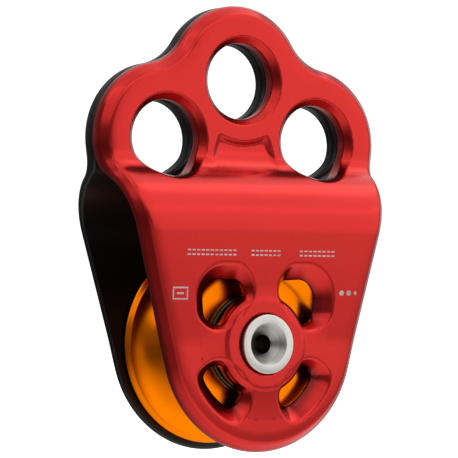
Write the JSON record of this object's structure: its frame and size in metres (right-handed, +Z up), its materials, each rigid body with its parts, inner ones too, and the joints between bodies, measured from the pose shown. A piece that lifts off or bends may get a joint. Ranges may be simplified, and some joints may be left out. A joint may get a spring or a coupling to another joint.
{
  "type": "rope pulley",
  "caption": "Rope pulley with forged cheek plates, karabiner eyes set in a triangle, and a ball-bearing sheave on a headed axle; the front cheek swings aside to load the rope.",
  "frame": {"origin": "centre of the top karabiner eye, on the mid-plane between the two cheek plates", "axes": "+Z up from the sheave to the top eye, along the length; +Y along the axle, from the front cheek to the rear cheek; +X across the cheeks"},
  "size_m": [0.0834, 0.0348, 0.1138],
  "materials": {
    "red_anodised_aluminium": "satin anodised forging",
    "black_anodised_aluminium": "satin anodised forging",
    "orange_anodised_aluminium": "gloss anodised turning",
    "machined_steel": "turned",
    "ground_steel": "ground",
    "polished_steel": "polished",
    "cage_polymer": "moulded",
    "seal_rubber": "moulded",
    "dark_cap_polymer": "gloss moulded",
    "washer_polymer": "moulded"
  },
  "bodies": {
    "rear_side": {"rear_cheek_plate": "black_anodised_aluminium", "axle": "machined_steel", "bearing_spacer_sleeve": "ground_steel", "front_bearing_inner_race": "ground_steel", "rear_bearing_inner_race": "ground_steel", "front_thrust_washer": "washer_polymer", "rear_thrust_washer": "washer_polymer"},
    "front_side": {"front_cheek_plate": "red_anodised_aluminium"},
    "sheave_group": {"sheave": "orange_anodised_aluminium", "front_bearing_outer_race": "ground_steel", "rear_bearing_outer_race": "ground_steel", "front_bearing_outboard_seal": "seal_rubber", "front_bearing_inboard_seal": "seal_rubber", "rear_bearing_outboard_seal": "seal_rubber", "rear_bearing_inboard_seal": "seal_rubber", "front_bearing_cap": "dark_cap_polymer", "rear_bearing_cap": "dark_cap_polymer"},
    "front_ball_set": {"front_bearing_balls": "polished_steel", "front_bearing_cage": "cage_polymer"},
    "rear_ball_set": {"rear_bearing_balls": "polished_steel", "rear_bearing_cage": "cage_polymer"}
  },
  "joints": [
    {"name": "front_plate_swing", "type": "hinge", "parent": "rear_side", "child": "front_side", "pos_m": [0, 0, -0.0671], "axis": [0, 1, 0], "continuous": true},
    {"name": "sheave_spin", "type": "hinge", "parent": "rear_side", "child": "sheave_group", "pos_m": [0, 0, -0.0671], "axis": [0, 1, 0], "continuous": true},
    {"name": "front_ball_set_spin", "type": "hinge", "parent": "rear_side", "child": "front_ball_set", "pos_m": [0, 0, -0.0671], "axis": [0, 1, 0], "continuous": true},
    {"name": "rear_ball_set_spin", "type": "hinge", "parent": "rear_side", "child": "rear_ball_set", "pos_m": [0, 0, -0.0671], "axis": [0, 1, 0], "continuous": true}
  ],
  "couplings": [
    {"joint": "front_ball_set_spin", "follows": "sheave_spin", "ratio": 0.561},
    {"joint": "rear_ball_set_spin", "follows": "sheave_spin", "ratio": 0.561}
  ]
}
